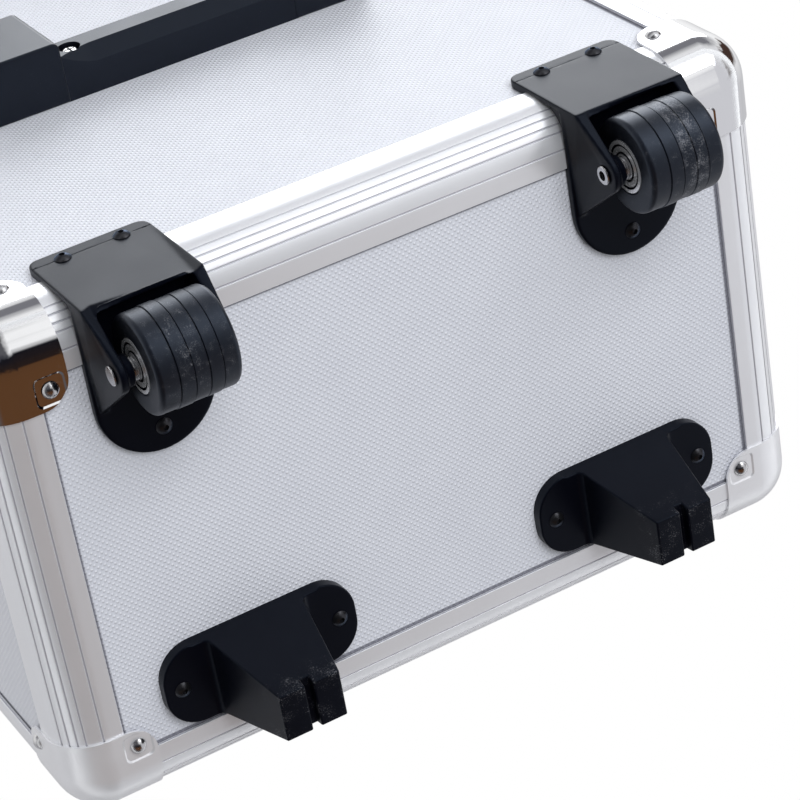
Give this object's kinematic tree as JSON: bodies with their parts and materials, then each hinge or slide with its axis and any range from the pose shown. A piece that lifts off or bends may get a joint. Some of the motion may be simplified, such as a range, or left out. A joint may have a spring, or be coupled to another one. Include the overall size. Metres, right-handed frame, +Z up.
{
  "type": "rolling makeup case",
  "caption": "Tall aluminium-railed makeup case on wheels and feet, with a telescopic trolley handle and lid flaps that swing open and lift stepped trays.",
  "frame": {"origin": "middle of the bounding box on the floor plane that the wheels and feet stand on", "axes": "+X to the right seen from the front, +Y to the back with the trolley handle and the wheels, +Z up"},
  "size_m": [0.3696, 0.2626, 0.5989],
  "materials": {
    "panel_silver": "silver laminate with fine raised dots",
    "rail_aluminium": "satin extruded aluminium with fine grooves",
    "corner_chrome": "bright pressed sheet, lightly scratched",
    "moulded_black": "fine matt moulding",
    "wheel_black": "hard rubber, scuffed",
    "steel_bright": "bright plated steel",
    "screw_black": "black oxide steel",
    "lining_black": "short flocked cloth"
  },
  "bodies": {
    "case": {"bottom_panel": "panel_silver", "front_panel": "panel_silver", "back_panel": "panel_silver", "left_panel": "panel_silver", "right_panel": "panel_silver", "body_lining": "lining_black", "bottom_rail_front": "rail_aluminium", "bottom_rail_back": "rail_aluminium", "bottom_side_rails": "rail_aluminium", "corner_posts": "rail_aluminium", "rim_rails": "rail_aluminium", "bottom_corners": "corner_chrome", "corner_rivets": "steel_bright", "wheel_housing_left": "moulded_black", "wheel_housing_right": "moulded_black", "wheel_axles": "steel_bright", "housing_screws": "screw_black", "foot_left": "moulded_black", "foot_right": "moulded_black", "foot_screws": "screw_black", "trolley_base": "moulded_black", "trolley_collar": "moulded_black", "trolley_screws": "steel_bright", "guide_tubes": "rail_aluminium", "body_hinge_leaves": "steel_bright", "hinge_pins": "steel_bright", "latch_strikes": "corner_chrome", "tray_studs": "steel_bright"},
    "handle_middle": {"middle_tubes": "rail_aluminium"},
    "handle_top": {"inner_tubes": "rail_aluminium", "trolley_grip": "moulded_black"},
    "button": {"release_button": "steel_bright"},
    "wheel_left": {"wheel_left": "wheel_black", "wheel_bearings_left": "steel_bright"},
    "flap_left": {"flap_top_left": "panel_silver", "flap_side_left": "panel_silver", "flap_ends_left": "panel_silver", "flap_frame_left": "rail_aluminium", "flap_fittings_left": "corner_chrome"},
    "hasp_left": {"hasp_left": "corner_chrome"},
    "outer_arms_left": {"outer_arms_left": "steel_bright"},
    "inner_arms_left": {"inner_arms_left": "steel_bright"},
    "lower_tray_left": {"lower_tray_left": "moulded_black"},
    "upper_tray_left": {"upper_tray_left": "moulded_black"},
    "wheel_right": {"wheel_right": "wheel_black", "wheel_bearings_right": "steel_bright"},
    "flap_right": {"flap_top_right": "panel_silver", "flap_side_right": "panel_silver", "flap_ends_right": "panel_silver", "flap_frame_right": "rail_aluminium", "flap_fittings_right": "corner_chrome", "handle_brackets": "steel_bright"},
    "hasp_right": {"hasp_right": "corner_chrome"},
    "outer_arms_right": {"outer_arms_right": "steel_bright"},
    "inner_arms_right": {"inner_arms_right": "steel_bright"},
    "lower_tray_right": {"lower_tray_right": "moulded_black"},
    "upper_tray_right": {"upper_tray_right": "moulded_black"},
    "carry_handle": {"carry_handle": "moulded_black"}
  },
  "joints": [
    {"name": "handle_middle_slide", "type": "slide", "parent": "case", "child": "handle_middle", "axis": [0, 0, 1], "range_m": [0, 0.19]},
    {"name": "handle_top_slide", "type": "slide", "parent": "handle_middle", "child": "handle_top", "axis": [0, 0, 1], "range_m": [0, 0.18]},
    {"name": "button_press", "type": "slide", "parent": "handle_top", "child": "button", "axis": [0, 0, -1], "range_m": [0, 0.004], "stiffness_N_per_m": 300},
    {"name": "wheel_left_spin", "type": "hinge", "parent": "case", "child": "wheel_left", "pos_m": [-0.1108, 0.08585, 0.0205], "axis": [1, 0, 0], "continuous": true},
    {"name": "flap_left_hinge", "type": "hinge", "parent": "case", "child": "flap_left", "pos_m": [-0.1816, -0.00815, 0.4873], "axis": [0, -1, 0], "range_deg": [0, 180]},
    {"name": "hasp_left_turn", "type": "hinge", "parent": "flap_left", "child": "hasp_left", "pos_m": [-0.062, -0.12815, 0.4967], "axis": [-1, 0, 0], "range_deg": [0, 110]},
    {"name": "outer_arms_left_turn", "type": "hinge", "parent": "case", "child": "outer_arms_left", "pos_m": [-0.1485, -0.00815, 0.4689], "axis": [0, -1, 0], "range_deg": [0, 90]},
    {"name": "inner_arms_left_turn", "type": "hinge", "parent": "case", "child": "inner_arms_left", "pos_m": [-0.12918, -0.00815, 0.46372], "axis": [0, -1, 0], "range_deg": [0, 90]},
    {"name": "lower_tray_left_level", "type": "hinge", "parent": "outer_arms_left", "child": "lower_tray_left", "pos_m": [-0.09654, -0.00815, 0.4989], "axis": [0, -1, 0], "range_deg": [-90, 0]},
    {"name": "upper_tray_left_level", "type": "hinge", "parent": "outer_arms_left", "child": "upper_tray_left", "pos_m": [-0.04458, -0.00815, 0.5289], "axis": [0, -1, 0], "range_deg": [-90, 0]},
    {"name": "wheel_right_spin", "type": "hinge", "parent": "case", "child": "wheel_right", "pos_m": [0.1052, 0.08585, 0.0205], "axis": [1, 0, 0], "continuous": true},
    {"name": "flap_right_hinge", "type": "hinge", "parent": "case", "child": "flap_right", "pos_m": [0.1816, -0.00815, 0.4873], "axis": [0, 1, 0], "range_deg": [0, 180]},
    {"name": "hasp_right_turn", "type": "hinge", "parent": "flap_right", "child": "hasp_right", "pos_m": [0.062, -0.12815, 0.4967], "axis": [-1, 0, 0], "range_deg": [0, 110]},
    {"name": "outer_arms_right_turn", "type": "hinge", "parent": "case", "child": "outer_arms_right", "pos_m": [0.1485, -0.00815, 0.4689], "axis": [0, 1, 0], "range_deg": [0, 90]},
    {"name": "inner_arms_right_turn", "type": "hinge", "parent": "case", "child": "inner_arms_right", "pos_m": [0.12918, -0.00815, 0.46372], "axis": [0, 1, 0], "range_deg": [0, 90]},
    {"name": "lower_tray_right_level", "type": "hinge", "parent": "outer_arms_right", "child": "lower_tray_right", "pos_m": [0.09654, -0.00815, 0.4989], "axis": [0, 1, 0], "range_deg": [-90, 0]},
    {"name": "upper_tray_right_level", "type": "hinge", "parent": "outer_arms_right", "child": "upper_tray_right", "pos_m": [0.04458, -0.00815, 0.5289], "axis": [0, 1, 0], "range_deg": [-90, 0]},
    {"name": "carry_handle_fold", "type": "hinge", "parent": "flap_right", "child": "carry_handle", "pos_m": [0.028, -0.00815, 0.5909], "axis": [0, -1, 0], "range_deg": [0, 95]}
  ],
  "couplings": [
    {"joint": "outer_arms_left_turn", "follows": "flap_left_hinge", "ratio": 0.5},
    {"joint": "inner_arms_left_turn", "follows": "flap_left_hinge", "ratio": 0.5},
    {"joint": "lower_tray_left_level", "follows": "flap_left_hinge", "ratio": -0.5},
    {"joint": "upper_tray_left_level", "follows": "flap_left_hinge", "ratio": -0.5},
    {"joint": "outer_arms_right_turn", "follows": "flap_right_hinge", "ratio": 0.5},
    {"joint": "inner_arms_right_turn", "follows": "flap_right_hinge", "ratio": 0.5},
    {"joint": "lower_tray_right_level", "follows": "flap_right_hinge", "ratio": -0.5},
    {"joint": "upper_tray_right_level", "follows": "flap_right_hinge", "ratio": -0.5}
  ]
}
